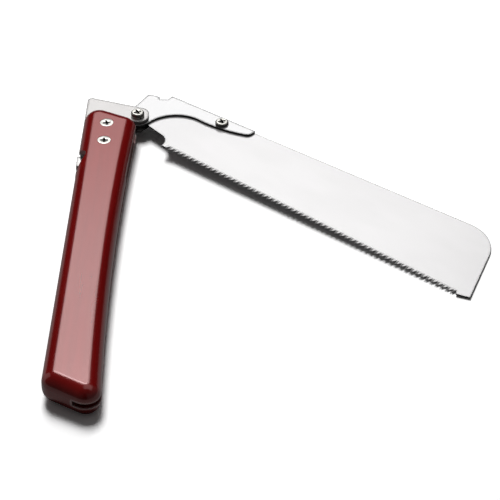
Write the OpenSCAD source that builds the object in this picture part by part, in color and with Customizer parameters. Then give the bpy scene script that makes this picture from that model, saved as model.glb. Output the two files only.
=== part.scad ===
// Folding pull saw with a lockback handle, lying on its side with the blade half open.
// Millimetres, +Z up from the bench. X runs from the handle's spine to its tooth side and
// Y from the butt to the pivot end. The origin is on the bench under the middle of the handle.
// Blade pieces are drawn in blade coordinates: U runs along the tooth line from heel to toe,
// V from the tooth line to the back, with the pivot axis at their origin.

/* [Handle] */
// How far the tooth side stands outside the pivot line, at the pivot end
front_out = 0.5; // [0:0.1:1.5]
// How far the tooth side stands outside the pivot line, at the butt
butt_out = 2; // [0:0.1:3]
// Thickness of the handle
handle_t = 19; // [18:0.5:26]
// How far the tooth side of the butt reaches past the folded blade's toe
toe_room = 12; // [6:0.5:20]
// How far the tooth side is drawn in at the middle of the grip
waist = 3.5; // [0:0.1:5]
// Radius of the long rounded edges
edge_r = 7.2; // [4:0.2:8]
// How much larger the corners seen from above are than the long edges
corner_extra = 1; // [0.5:0.5:4]
// Slant of the butt
butt_slant = 29.5; // [0:0.5:35]
// Slant of the pivot end of the grip
front_slant = 24; // [10:0.5:32]
// Distance from the pivot axis back to the pivot end of the grip, on the tooth side
front_setback = 7.5; // [7:0.5:12]
// Width of the slot that takes the blade
blade_slot = 3.2; // [2.4:0.1:4]
// Room between the folded tooth tips and the bottom of the slot
tooth_room = 3.5; // [2:0.5:5]

/* [Thumb notch] */
// Distance from the pivot axis back to the front of the thumb notch
notch_back = 39.5; // [37:0.5:42]
// Length of the thumb notch along the spine
notch_l = 19; // [14:0.5:20]
// Depth of the thumb notch
notch_d = 4.8; // [3:0.2:5.4]

/* [Frame] */
// Thickness of each steel cheek
cheek_t = 1.5; // [1:0.1:2.5]
// Radius of the cheeks round the pivot
eye_r = 6.6; // [6:0.2:8]
// Distance of the cheeks' free end from the pivot axis
frame_rise = 8.3; // [8:0.1:10]
// Slant of the cheeks' free end
frame_slant = 16.3; // [5:0.1:25]
// How far the cheeks reach behind the thumb notch, inside the handle
frame_room = 5; // [3:0.5:20]
// How far the cheeks stay inside the pivot line on the tooth side
frame_inset = 3.6; // [2:0.2:5]
// Corner radius of the cheeks' free end
frame_corner_r = 2.5; // [1:0.5:5]
// Play between the blade holder and each cheek, filled by a shim
side_play = 0.3; // [0.2:0.05:0.6]

/* [Fasteners] */
// Thread diameter of every screw
screw_d = 4; // [3:0.5:5]
// Diameter of every screw head
head_d = 8; // [7:0.2:9]
// Height of a pan head
pan_h = 1.9; // [1.5:0.1:3.2]
// Thickness of the hexagon nuts
nut_h = 3.2; // [2.2:0.1:3.4]
// Thickness of the spring washer under the pivot screw's head
washer_h = 0.9; // [0.6:0.1:1.5]
// Diameter of the bush that the blade turns on
bush_d = 6; // [5.5:0.5:7]
// Diameter of the spacers between the cheeks
spacer_d = 6; // [5.5:0.5:7]
// Distance of the handle screws from the pivot line, towards the spine
screw_line = 17; // [16.5:0.5:18]
// Distance from the pivot axis back to the front handle screw
screw_back = 16.4; // [16:0.2:20]
// Distance between the two handle screws
screw_pitch = 17.8; // [16:0.2:20]
// Diameter of the pin that the folded blade's heel lands on
stop_pin_d = 4; // [3:0.5:5]

/* [Blade] */
// Length of the tooth edge, heel to toe
edge_l = 225; // [200:1:270]
// Distance along the tooth line from the pivot axis to the heel
heel_u = 28.5; // [27.5:0.5:33]
// Distance from the pivot axis to the line of the tooth tips
tooth_drop = 10.5; // [10:0.5:11.5]
// Thickness of the blade
blade_t = 0.8; // [0.6:0.1:1.2]
// Height of the back above the pivot axis, at the pivot
back_v = 30.1; // [29.5:0.1:30.5]
// Angle at which the back rises towards the tip
back_rise = 4.1; // [0:0.1:5]
// Radius of the tip's back corner
tip_r = 25; // [10:1:30]
// Slant of the toe
toe_slant = 20.4; // [0:0.2:30]
// Length of the plain stretch at the toe
toe_land = 8; // [4:0.5:15]
// Angle at which the plain stretch at the toe lifts off the tooth line
toe_lift = 17; // [0:1:20]
// Length of the plain stretch at the heel
heel_land = 3; // [2:0.5:6]
// Radius of the recess in front of the heel
recess_r = 8.3; // [7.5:0.1:9]

/* [Teeth] */
// Distance between teeth
tooth_pitch = 1.8; // [1.5:0.1:3]
// Height of the teeth
tooth_h = 2.9; // [2:0.1:3.2]
// How far each tooth is set to its own side
tooth_set = 0.12; // [0:0.02:0.3]
// Where a tooth's tip stands along its pitch: small values lean to the handle
tooth_lean = 0.16; // [0.05:0.01:0.5]
// How far the filed bevel slants each gullet across the blade
tooth_fleam = 0.28; // [0:0.02:0.4]
// Height that the bevel leaves on a tooth's inner side, as a share of its height
inner_share = 0.45; // [0.4:0.05:1]

/* [Blade holder] */
// Thickness of each holder plate
plate_t = 1.3; // [1:0.1:1.8]
// Radius of the holder round the pivot
holder_eye_r = 8; // [7.5:0.5:8.5]
// Length of the holder from the pivot axis along the blade
holder_l = 62.8; // [58:0.2:90]
// Radius of the hollow in the holder's front edge
hollow_r = 20.9; // [19:0.1:22]
// How far above the pivot line the hollow starts
hollow_up = 1.5; // [0:0.1:2]
// Height of the holder's end, before its corner is rounded
holder_end_h = 5.4; // [4.5:0.1:7]
// Radius of the holder's end corner
holder_corner_r = 4; // [1:0.5:4.5]
// How far the holder stands proud of the blade's back
holder_proud = 0.4; // [0:0.1:1]
// Lean of the tang's end
tang_lean = 9; // [5:0.5:12]
// Distance of the blade screw from the pivot axis along the blade
blade_screw_u = 42.6; // [38:0.2:50]
// Distance of the blade screw inside the blade's back
blade_screw_in = 5; // [4.5:0.1:7]

/* [Lock] */
// Radius of the tang's crest round the pivot axis
crest_r = 25.4; // [24.6:0.1:25.6]
// Distance of the tang's shoulder in front of the pivot axis
shoulder_u = 0.8; // [0:0.1:2]
// Width of the lock notch, crest to shoulder
hook_w = 5.4; // [4.6:0.2:6]
// Depth of the lock notch below the crest
hook_d = 2; // [1.4:0.1:2.2]
// Clearance of the lever's beak in the lock notch
lock_gap = 0.3; // [0.2:0.05:0.4]
// Diameter of the lever's pin
lock_pin_d = 3; // [2:0.5:3.5]
// Distance from the pivot axis back to the lever's pin
lock_pin_back = 27; // [25:0.5:29]
// Depth of the lever's bar, which sets the handle's width
lever_w = 5.5; // [4.8:0.1:9]
// Clearance of the lifted beak over the crest
crest_clear = 0.27; // [0.2:0.01:0.6]
// How far the lever's thumb pad stands proud of the spine
pad_proud = 0.9; // [0:0.1:1.5]
// Radius of the finger scoop in front of the thumb pad
scoop_r = 2.2; // [1:0.1:2.6]
// Thickness of the lever's leaf spring
spring_t = 0.6; // [0.4:0.1:0.8]

/* [Pose] */
// Angle between the handle and the tooth line as drawn
rest_angle = 52.5; // [0:0.5:180]

/* [Hidden] */
// Radial clearance of a turning fit, and the play of a screw or pin in its hole
turn_fit = 0.04;
bolt_play = 0.1;
seat_fit = 0.05;
overlap = 1;
round_steps = 8;
$fn = 64;

// Levels, from the middle of the blade's thickness
mid_z = handle_t / 2;
stack_t = blade_t + 2 * plate_t;
frame_gap = stack_t + 2 * side_play;
frame_t = frame_gap + 2 * cheek_t;

// Plan of the handle, from the pivot axis
toe_u = heel_u + edge_l;
handle_reach = toe_u + toe_room;
slot_depth = tooth_drop + tooth_room;
lever_play = 0.4;
lever_in = -crest_r - 0.2;
lever_back = lever_in - lever_w;
handle_w = lever_play - lever_back;
frame_tail = notch_back + notch_l + frame_room;
corner_r = edge_r + corner_extra;
pivot_place = [handle_w / 2, handle_reach / 2, 0];
bolt_r = screw_d / 2;
hole_r = bolt_r + bolt_play;
head_r = head_d / 2;
bush_r = bush_d / 2;
csk_h = head_r - bolt_r;
screw_places = [for (i = [0, 1]) [-screw_line, -screw_back - i * screw_pitch]];

// Tooth line and gullet line of the blade
tip_v = -tooth_drop;
root_v = tip_v + tooth_h;
teeth_u = heel_u + heel_land;
tooth_count = floor((toe_u - toe_land - teeth_u) / tooth_pitch);

// Lock notch in blade coordinates
crest_pt = [shoulder_u - hook_w, sqrt(pow(crest_r, 2) - pow(shoulder_u - hook_w, 2))];
hook_pt = crest_pt + [0.6 * hook_d, -hook_d];
ramp_pt = [shoulder_u, crest_pt[1] + 0.6 * hook_d];
shoulder_pt = [shoulder_u, holder_back(shoulder_u)];
lock_pin_pt = [lever_in - lever_w / 2, -lock_pin_back];
seated_tip = opened(moved_corner(crest_pt, hook_pt, ramp_pt, lock_gap));
lock_lift = asin((crest_r + crest_clear - norm(seated_tip)) / (seated_tip[1] + lock_pin_back));
blade_screw_v = blade_back(blade_screw_u) - blade_screw_in;

// The recess at the heel and the pin that it lands on when the blade is folded
recess_c = [heel_u - recess_r, tip_v];
stop_reach = recess_r - stop_pin_d / 2 - 0.3;
stop_pt = folded(recess_c + stop_reach * [cos(40), sin(40)]);

// Plane geometry
function unit(v) = v / norm(v);
function turn(p, a) = [p[0] * cos(a) - p[1] * sin(a), p[0] * sin(a) + p[1] * cos(a)];
function turn_about(p, c, a) = c + turn(p - c, a);
function arc(c, r, a0, a1, n = round_steps) =
    [for (i = [0:n]) let (a = a0 + (a1 - a0) * i / n) c + r * [cos(a), sin(a)]];
function half_angle(a, p, b) = acos(unit(a - p) * unit(b - p)) / 2;
function moved_corner(a, p, b, d) =
    p + unit(unit(a - p) + unit(b - p)) * d / sin(half_angle(a, p, b));
function short_turn(d) = d > 180 ? d - 360 : d < -180 ? d + 360 : d;
function round_corner(a, p, b, r, n = round_steps) =
    let (
        c = moved_corner(a, p, b, r),
        reach = r / tan(half_angle(a, p, b)),
        s = p + unit(a - p) * reach - c,
        e = p + unit(b - p) * reach - c,
        a0 = atan2(s[1], s[0]),
        da = short_turn(atan2(e[1], e[0]) - a0)
    )
    arc(c, r, a0, a0 + da, n);
function previous(pts, i) = pts[(i + len(pts) - 1) % len(pts)];
function next(pts, i) = pts[(i + 1) % len(pts)];
function moved_in(pts, d) =
    [for (i = [0:len(pts) - 1]) moved_corner(previous(pts, i), pts[i], next(pts, i), d)];
function between(a, b, n) = [for (i = [1:n - 1]) a + (b - a) * i / n];

// Blade coordinates seen in the handle's plan when the blade is folded or fully open
function folded(p) = [p[1], -p[0]];
function opened(p) = [-p[1], p[0]];
function holder_back(u) = blade_back(u) + holder_proud;
function blade_back(u) = back_v + u * tan(back_rise);

// Handle: four sides, drawn in along the tooth side, with long rounded edges
handle_corners = [
    [-handle_w, -handle_reach + handle_w * tan(butt_slant)],
    [butt_out, -handle_reach - butt_out * tan(butt_slant)],
    [front_out, -front_setback - front_out * tan(front_slant)],
    [-handle_w, -front_setback + handle_w * tan(front_slant)]
];
side_steps = 20;
edge_steps = 6;

function drawn_in(p) =
    let (t = 2 * (p[1] + handle_reach) / (handle_reach - front_setback) - 1)
    [p[0] - waist * max(0, 1 - t * t) * (p[0] + handle_w) / handle_w, p[1]];

function handle_ring(d) =
    let (
        pts = moved_in(handle_corners, d),
        bends = [for (i = [0:3])
            round_corner(previous(pts, i), pts[i], next(pts, i), corner_r - d, edge_steps)]
    )
    [for (i = [0:3]) each concat(
        bends[i],
        i % 2 == 1 ? between(bends[i][edge_steps], bends[(i + 1) % 4][0], side_steps) : []
    )];

// Levels of the lofted slab: [height, how far the ring is moved in]
edge_levels = [for (i = [0:edge_steps])
    let (a = 90 * i / edge_steps) edge_r * [1 - cos(a), 1 - sin(a)]];
handle_levels = concat(
    edge_levels,
    [for (i = [edge_steps:-1:0]) [handle_t - edge_levels[i][0], edge_levels[i][1]]]
);

module lofted_slab() {
    rings = [for (level = handle_levels)
        [for (p = handle_ring(level[1])) let (q = drawn_in(p)) [q[0], q[1], level[0]]]];
    n = len(rings[0]);
    last = len(rings) - 1;
    sides = [for (k = [0:last - 1], i = [0:n - 1])
        let (j = (i + 1) % n, a = k * n, b = a + n)
        each [[a + i, b + i, b + j], [a + i, b + j, a + j]]];
    bottom = [for (i = [0:n - 1]) i];
    top = [for (i = [n - 1:-1:0]) last * n + i];
    polyhedron([for (ring = rings) each ring], concat(sides, [bottom, top]), convexity = 4);
}

// Thumb notch: a scoop with a short front flank and a long rear flank
module notch_profile() {
    flank = 0.3 * notch_l;
    lip = [-handle_w - overlap, -notch_back];
    pts = [
        lip,
        [-handle_w, -notch_back],
        [-handle_w + notch_d, -notch_back - flank],
        [-handle_w + notch_d, -notch_back - 1.6 * flank],
        [-handle_w, -notch_back - notch_l],
        [-handle_w - overlap, -notch_back - notch_l]
    ];
    polygon(concat(
        [pts[0], pts[1]],
        round_corner(pts[1], pts[2], pts[3], 0.35 * flank),
        round_corner(pts[2], pts[3], pts[4], flank),
        [pts[4], pts[5]]
    ));
}

module handle() {
    color("#6e1512") translate(pivot_place) difference() {
        lofted_slab();
        translate([-handle_w - overlap, -frame_tail - seat_fit, mid_z - frame_t / 2 - seat_fit])
            cube([2 * handle_w, frame_tail + handle_w, frame_t + 2 * seat_fit]);
        translate([-slot_depth, -handle_reach - slot_depth, mid_z - blade_slot / 2])
            cube([2 * slot_depth, handle_reach + slot_depth - frame_tail, blade_slot]);
        translate([0, 0, -overlap])
            linear_extrude(handle_t + 2 * overlap) notch_profile();
        for (p = screw_places) translate(p) {
            translate([0, 0, mid_z]) cylinder(r = hole_r, h = handle_t);
            translate([0, 0, handle_t - csk_h - 2 * seat_fit]) countersink();
            translate([0, 0, -overlap]) cylinder(r = barrel_r + seat_fit, h = mid_z);
            translate([0, 0, nut_head_h + 2 * seat_fit]) mirror([0, 0, 1])
                cylinder(r1 = barrel_r + seat_fit, r2 = head_r + seat_fit, h = nut_head_h);
            translate([0, 0, -overlap])
                cylinder(r = head_r + seat_fit, h = overlap + 2 * seat_fit);
        }
    }
}

// Seat of a countersunk head, from the cone's narrow end to above the surface
module countersink() {
    cylinder(r1 = bolt_r + seat_fit, r2 = head_r + seat_fit, h = csk_h);
    translate([0, 0, csk_h]) cylinder(r = head_r + seat_fit, h = overlap);
}

// Frame: two steel cheeks that carry the pivot and the lock
function frame_end(x) = frame_rise / cos(frame_slant) - x * tan(frame_slant);
cheek_corners = [
    [-handle_w, -frame_tail],
    [-frame_inset, -frame_tail],
    [eye_r, 0],
    [eye_r, frame_end(eye_r)],
    [-handle_w, frame_end(-handle_w)]
];

module cheek_profile() {
    difference() {
        polygon(concat(
            [cheek_corners[0], cheek_corners[1]],
            arc([0, 0], eye_r, -90 - asin(frame_inset / eye_r), 0, 2 * round_steps),
            round_corner(cheek_corners[2], cheek_corners[3], cheek_corners[4], 0.9 * eye_r),
            round_corner(cheek_corners[3], cheek_corners[4], cheek_corners[0], frame_corner_r)
        ));
        notch_profile();
        circle(hole_r);
        for (p = screw_places) translate(p) circle(hole_r);
        translate(lock_pin_pt) circle(lock_pin_d / 2);
        translate(stop_pt) circle(stop_pin_d / 2);
    }
}

module cheek(z) {
    color("gainsboro") translate(pivot_place + [0, 0, z]) linear_extrude(cheek_t) cheek_profile();
}

module front_cheek() cheek(mid_z + frame_gap / 2);
module rear_cheek() cheek(mid_z - frame_gap / 2 - cheek_t);

module frame_spacers() {
    color("silver") translate(pivot_place + [0, 0, mid_z - frame_gap / 2])
        for (p = screw_places) translate(p) linear_extrude(frame_gap) difference() {
            circle(spacer_d / 2);
            circle(hole_r);
        }
}

// Screws with crossed recesses
module cross_recess(depth) {
    arm = [0.62 * head_d, 0.13 * head_d, 2 * depth];
    for (a = [0, 90]) rotate(a) cube(arm, center = true);
}

module pan_screw(length) {
    dome_h = 0.45 * pan_h;
    dome_r = (pow(head_r, 2) + pow(dome_h, 2)) / (2 * dome_h);
    difference() {
        union() {
            intersection() {
                cylinder(r = head_r, h = pan_h);
                translate([0, 0, pan_h - dome_r]) sphere(dome_r);
            }
            translate([0, 0, -length]) cylinder(r = bolt_r, h = length + seat_fit);
        }
        translate([0, 0, pan_h]) cross_recess(0.5 * pan_h);
    }
}

module countersunk_screw(length) {
    difference() {
        union() {
            translate([0, 0, -csk_h]) cylinder(r1 = bolt_r, r2 = head_r, h = csk_h);
            translate([0, 0, -length]) cylinder(r = bolt_r, h = length - csk_h + seat_fit);
        }
        cross_recess(0.7 * csk_h);
    }
}

module hex_nut() {
    across_flats = 1.75 * screw_d;
    difference() {
        cylinder(d = across_flats / cos(30), h = nut_h, $fn = 6);
        translate([0, 0, -overlap]) cylinder(r = bolt_r + seat_fit, h = nut_h + 2 * overlap);
    }
}

nut_bore_z = 1.6;
nut_head_h = 1;
barrel_r = bolt_r + 1;

module handle_screws() {
    top = handle_t - seat_fit;
    color("whitesmoke") translate(pivot_place) for (p = screw_places)
        translate([p[0], p[1], top]) countersunk_screw(top - nut_bore_z - seat_fit);
}

// Sleeve nuts: a flush head on the underside and a barrel that ends at the rear cheek
module handle_nuts() {
    barrel_h = mid_z - frame_t / 2 - 3 * seat_fit;
    color("lightgray") translate(pivot_place + [0, 0, seat_fit]) for (p = screw_places)
        translate(p) difference() {
            union() {
                cylinder(r1 = head_r, r2 = barrel_r, h = nut_head_h);
                cylinder(r = barrel_r, h = barrel_h);
            }
            translate([0, 0, nut_bore_z - seat_fit])
                cylinder(r = bolt_r + seat_fit, h = barrel_h);
            cross_recess(0.5 * nut_head_h);
        }
}

module stop_pin() {
    color("silver") translate(pivot_place + [stop_pt[0], stop_pt[1], mid_z - frame_t / 2])
        cylinder(d = stop_pin_d - 2 * turn_fit, h = frame_t);
}

// Pivot: a screw through both cheeks, clamped on the bush that the blade turns on
module pivot_screw() {
    head_z = mid_z + frame_t / 2 + washer_h;
    color("silver") translate(pivot_place + [0, 0, head_z])
        pan_screw(washer_h + frame_t + nut_h + 0.8);
}

module pivot_spring_washer() {
    slit = 0.7;
    color("dimgray") translate(pivot_place + [0, 0, mid_z + frame_t / 2]) linear_extrude(washer_h)
        difference() {
            circle(head_r - 2 * seat_fit);
            circle(hole_r);
            rotate(-60) translate([0, -slit / 2]) square([head_d, slit]);
        }
}

module pivot_bush() {
    color("silver") translate(pivot_place + [0, 0, mid_z - frame_gap / 2])
        linear_extrude(frame_gap) difference() {
            circle(bush_r);
            circle(hole_r);
        }
}

module pivot_shims() {
    shim_t = side_play - seat_fit;
    shim_r = eye_r - 1;
    color("goldenrod") translate(pivot_place)
        for (z = [mid_z - frame_gap / 2, mid_z + frame_gap / 2 - shim_t])
            translate([0, 0, z]) linear_extrude(shim_t) difference() {
                circle(shim_r);
                circle(bush_r + seat_fit);
            }
}

module pivot_nut() {
    color("silver") translate(pivot_place + [0, 0, mid_z - frame_t / 2 - nut_h]) hex_nut();
}

// Lock: a rocking lever on a pin, with a beak in front and a thumb pad behind
lever_t = frame_gap - lever_play;

function lifted(p) = turn_about(opened(p), lock_pin_pt, lock_lift);

beak = [
    lifted(moved_corner(hook_pt, ramp_pt, shoulder_pt, lock_gap)),
    lifted(moved_corner(crest_pt, hook_pt, ramp_pt, lock_gap)),
    lifted(moved_corner(turn(crest_pt, 5), crest_pt, hook_pt, -lock_gap))
];
pad_end = -notch_back - 0.93 * notch_l;

module lever_profile() {
    pad_x = -handle_w - pad_proud;
    tail_x = -handle_w + 0.6;
    pad = [pad_x, -notch_back - 0.09 * notch_l];
    pad_rear = [pad_x, -notch_back - 0.59 * notch_l];
    heel = [
        [lever_in, -screw_back - screw_pitch], [lever_in, pad_end], [tail_x, pad_end],
        [tail_x, pad_rear[1]]
    ];
    difference() {
        polygon(concat(
            [[lever_back, beak[0][1] - lock_gap], [beak[0][0], beak[0][1] - lock_gap]],
            [beak[1], beak[2]],
            [[beak[2][0] - 0.4, beak[2][1] - 4], [lever_in, -0.7 * lock_pin_back]],
            round_corner(heel[0], heel[1], heel[2], 2),
            round_corner(heel[1], heel[2], heel[3], 2),
            [heel[3]],
            round_corner(heel[3], pad_rear, pad, 0.6),
            [pad, [lever_back, pad[1] + 2]]
        ));
        translate(lock_pin_pt) circle(lock_pin_d / 2 + turn_fit);
        translate([lever_back, pad[1] + 2]) circle(scoop_r);
    }
}

module lock_lever() {
    color("silver") translate(pivot_place + [0, 0, mid_z - lever_t / 2])
        linear_extrude(lever_t) lever_profile();
}

module lock_pin() {
    color("silver") translate(pivot_place + [lock_pin_pt[0], lock_pin_pt[1], mid_z - frame_t / 2])
        cylinder(d = lock_pin_d, h = frame_t);
}

// Leaf spring bent to a U: one leg on the lever, the other on the rear spacer
module lock_spring() {
    left = lever_in + seat_fit;
    right = screw_places[1][0] - spacer_d / 2 - seat_fit;
    bend_r = (right - left) / 2;
    bend_y = -frame_tail + bend_r + 3;
    left_top = -notch_back - 0.35 * notch_l;
    right_top = screw_places[1][1] + spacer_d / 2;
    width = lever_t - 0.6;
    color("slategray") translate(pivot_place + [0, 0, mid_z - width / 2]) linear_extrude(width) {
        translate([left, bend_y]) square([spring_t, left_top - bend_y]);
        translate([right - spring_t, bend_y]) square([spring_t, right_top - bend_y]);
        translate([left + bend_r, bend_y]) difference() {
            circle(bend_r);
            circle(bend_r - spring_t);
            translate([-bend_r - overlap, 0]) square(2 * (bend_r + overlap));
        }
    }
}

// Blade group: everything below is drawn in blade coordinates and turned to its pose
module in_blade_pose(z = 0) {
    translate(pivot_place + [0, 0, mid_z + z]) rotate(rest_angle - 90) children();
}

module blade_profile() {
    toe = [toe_u, tip_v + toe_land * sin(toe_lift)];
    back_end = (blade_back(toe_u) - toe[1]) / (1 + tan(back_rise) * tan(toe_slant));
    top = [toe_u - back_end * tan(toe_slant), toe[1] + back_end];
    tail_r = holder_eye_r - 1;
    difference() {
        union() {
            polygon(concat(
                [[-0.6 * tail_r, 0.8 * tail_r], [0, 0.15 * tail_r]],
                arc(recess_c, recess_r, 90, 0),
                [[teeth_u, tip_v], [teeth_u, root_v]],
                [[teeth_u + tooth_count * tooth_pitch, root_v]],
                [[toe_u - toe_land, tip_v], toe],
                round_corner(toe, top, [0, back_v], tip_r, 2 * round_steps),
                [[shoulder_u + hook_w, blade_back(shoulder_u + hook_w)]]
            ));
            circle(tail_r);
        }
        translate([blade_screw_u, blade_screw_v]) circle(hole_r);
        circle(bush_r + turn_fit);
        translate([-2 * tail_r, -bush_r - turn_fit])
            square([2 * tail_r, 2 * (bush_r + turn_fit)]);
    }
}

// Teeth: cross-sections at each gullet and each tip, joined into one strip.
// Neighbouring teeth are set and bevelled to opposite sides.
strip_z = blade_t / 2 - 0.03;
strip_top_z = strip_z;
strip_top = root_v + 0.8;
gullet_v = root_v - 0.05;

function side_of(k) = k % 2 == 0 ? 1 : -1;
function strip_section(u, front, rear) =
    [[u, strip_top, -strip_top_z], [u, strip_top, strip_top_z], front, rear];
function gullet_section(k) =
    let (u = teeth_u + k * tooth_pitch, slant = k == 0 || k == tooth_count ? 0 : side_of(k) * tooth_fleam)
    strip_section(u, [u - slant, gullet_v, strip_z], [u + slant, gullet_v, -strip_z]);
function tip_section(k) =
    let (
        s = side_of(k),
        u = teeth_u + (k + tooth_lean) * tooth_pitch,
        outer = [u, tip_v, s * (strip_z + tooth_set)],
        inner = [
            u + 0.4 * tooth_fleam,
            gullet_v + inner_share * (tip_v - gullet_v),
            s * (inner_share * tooth_set - strip_z)
        ]
    )
    strip_section(u, s > 0 ? outer : inner, s > 0 ? inner : outer);

module tooth_strip() {
    sections = concat(
        [for (k = [0:tooth_count - 1]) each [gullet_section(k), tip_section(k)]],
        [gullet_section(tooth_count)]
    );
    last = 4 * (len(sections) - 1);
    sides = [for (a = [0:4:last - 4], i = [0:3])
        let (j = (i + 1) % 4, b = a + 4)
        each [[a + i, b + j, a + j], [a + i, b + i, b + j]]];
    polyhedron(
        [for (section = sections) each section],
        concat(sides, [[0, 1, 2, 3], [last + 3, last + 2, last + 1, last]]),
        convexity = 10
    );
}

module blade() {
    color("lightgray") in_blade_pose() union() {
        translate([0, 0, -blade_t / 2]) linear_extrude(blade_t) blade_profile();
        tooth_strip();
    }
}

// Holder plates: an eye on the pivot, a tang with the lock notch, and a long arm on the blade
module holder_profile() {
    hollow_c = [holder_eye_r + hollow_r, hollow_up];
    end_top = [holder_l, holder_back(holder_l)];
    end_low = end_top - [0, holder_end_h];
    belly_run = end_low - hollow_c - [0, hollow_r];
    belly_r = belly_run * belly_run / (2 * belly_run[1]);
    belly_c = hollow_c + [0, hollow_r + belly_r];
    belly_angle = asin((belly_run[0] - 2 * holder_corner_r) / belly_r);
    belly = arc(belly_c, belly_r, -90, -90 + belly_angle);
    tang_foot = holder_eye_r * [-cos(tang_lean), -sin(tang_lean)];
    tang_way = [-sin(tang_lean), cos(tang_lean)];
    tang_reach = sqrt(pow(crest_r, 2) - pow(holder_eye_r, 2));
    tang_top = tang_foot + tang_way * tang_reach;
    crest_a0 = atan2(crest_pt[1], crest_pt[0]);
    crest_a1 = atan2(tang_top[1], tang_top[0]);
    crest = arc([0, 0], crest_r, crest_a0, crest_a1 - 4);
    eye = arc([0, 0], holder_eye_r, 180 + tang_lean, 360, 2 * round_steps);
    hollow = arc(hollow_c, hollow_r, 180, 90, 2 * round_steps);
    difference() {
        polygon(concat(
            eye,
            [for (i = [0:len(hollow) - 2]) hollow[i]],
            belly,
            round_corner(belly[round_steps], end_low, end_top, holder_corner_r),
            [end_top, shoulder_pt, ramp_pt, hook_pt],
            crest,
            round_corner(crest[round_steps], tang_top, tang_foot, 1.2)
        ));
        circle(bush_r + turn_fit);
        translate([blade_screw_u, blade_screw_v]) circle(hole_r);
    }
}

module holder_plate(z) {
    color("white") in_blade_pose(z) linear_extrude(plate_t) holder_profile();
}

module holder_front_plate() holder_plate(blade_t / 2);
module holder_rear_plate() holder_plate(-blade_t / 2 - plate_t);

module blade_screw() {
    color("silver") in_blade_pose(stack_t / 2) translate([blade_screw_u, blade_screw_v])
        pan_screw(stack_t + nut_h + 0.6);
}

module blade_nut() {
    color("silver") in_blade_pose(-stack_t / 2 - nut_h)
        translate([blade_screw_u, blade_screw_v]) hex_nut();
}

handle();
front_cheek();
rear_cheek();
frame_spacers();
handle_screws();
handle_nuts();
stop_pin();
pivot_screw();
pivot_spring_washer();
pivot_bush();
pivot_shims();
pivot_nut();
lock_lever();
lock_pin();
lock_spring();
blade();
holder_front_plate();
holder_rear_plate();
blade_screw();
blade_nut();
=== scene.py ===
"""Looks of a folding pull saw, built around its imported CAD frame."""

import logging
import math
from dataclasses import dataclass, field
from enum import Enum
from typing import Any, Callable, Iterable, Optional, Sequence, Union

import bmesh
import bpy
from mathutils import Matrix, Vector


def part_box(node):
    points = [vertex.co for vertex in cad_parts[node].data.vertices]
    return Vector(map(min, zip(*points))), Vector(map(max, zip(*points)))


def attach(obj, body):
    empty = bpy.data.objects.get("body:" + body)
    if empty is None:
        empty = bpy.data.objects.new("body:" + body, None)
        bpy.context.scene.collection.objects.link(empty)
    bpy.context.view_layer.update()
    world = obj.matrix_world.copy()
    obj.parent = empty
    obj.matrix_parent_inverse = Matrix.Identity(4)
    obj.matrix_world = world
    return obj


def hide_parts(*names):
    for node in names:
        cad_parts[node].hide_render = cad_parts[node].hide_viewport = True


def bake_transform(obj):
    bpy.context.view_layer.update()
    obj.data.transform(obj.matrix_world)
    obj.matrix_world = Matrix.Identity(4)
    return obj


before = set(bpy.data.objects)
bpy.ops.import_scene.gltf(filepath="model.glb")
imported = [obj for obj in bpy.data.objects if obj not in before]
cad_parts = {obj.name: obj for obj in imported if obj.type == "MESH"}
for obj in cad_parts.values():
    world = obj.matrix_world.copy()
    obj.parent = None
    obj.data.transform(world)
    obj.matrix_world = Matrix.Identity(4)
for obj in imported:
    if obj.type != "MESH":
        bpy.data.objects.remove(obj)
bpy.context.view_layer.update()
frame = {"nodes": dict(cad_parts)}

MM = 0.001
QUARTER_TURN = math.pi / 2

# The pivot's axis in plan, and the middle of the handle's thickness
PIVOT = Vector((15.75, 132.75)) * MM
MID_Z = 9.5 * MM
# Direction of the tooth line from +X in plan
BLADE_TURN = math.radians(-37.5)

# Rays that see the white room and floor
SEEN_BY = ("Camera", "Glossy", "Transmission")
# Middle of the values that noise takes
MEAN_NOISE = 0.5

Triple = tuple[float, float, float]
Pair = tuple[float, float]
Colour = Triple
Number = Union[float, "Socket"]
Test = Callable[[Any], bool]

logging.basicConfig(level=logging.INFO, format="%(message)s")
log = logging.getLogger("saw")


# Shader maths


class Socket:
    """A node output that takes part in Python arithmetic."""

    def __init__(self, graph: "Graph", output: bpy.types.NodeSocket) -> None:
        """Keep the output and the graph it belongs to."""
        self.graph = graph
        self.output = output

    def __add__(self, other: Number) -> "Socket":
        """Sum of two values."""
        return self.graph.maths("ADD", self, other)

    def __radd__(self, other: Number) -> "Socket":
        """Sum of two values."""
        return self.graph.maths("ADD", other, self)

    def __sub__(self, other: Number) -> "Socket":
        """Difference of two values."""
        return self.graph.maths("SUBTRACT", self, other)

    def __rsub__(self, other: Number) -> "Socket":
        """Difference of two values, the other way round."""
        return self.graph.maths("SUBTRACT", other, self)

    def __mul__(self, other: Number) -> "Socket":
        """Product of two values."""
        return self.graph.maths("MULTIPLY", self, other)

    def __rmul__(self, other: Number) -> "Socket":
        """Product of two values."""
        return self.graph.maths("MULTIPLY", other, self)

    def __abs__(self) -> "Socket":
        """Size of a value without its sign."""
        return self.graph.maths("ABSOLUTE", self)

    def band(self, low: float, high: float) -> "Socket":
        """Smooth step from 0 at low to 1 at high.

        Args:
            low: Value at which the step starts.
            high: Value at which the step ends.

        Returns:
            The stepped value.
        """
        return self.graph.add(
            "ShaderNodeMapRange",
            {"interpolation_type": "SMOOTHSTEP"},
            {"Value": self, "From Min": low, "From Max": high},
        )


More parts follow.
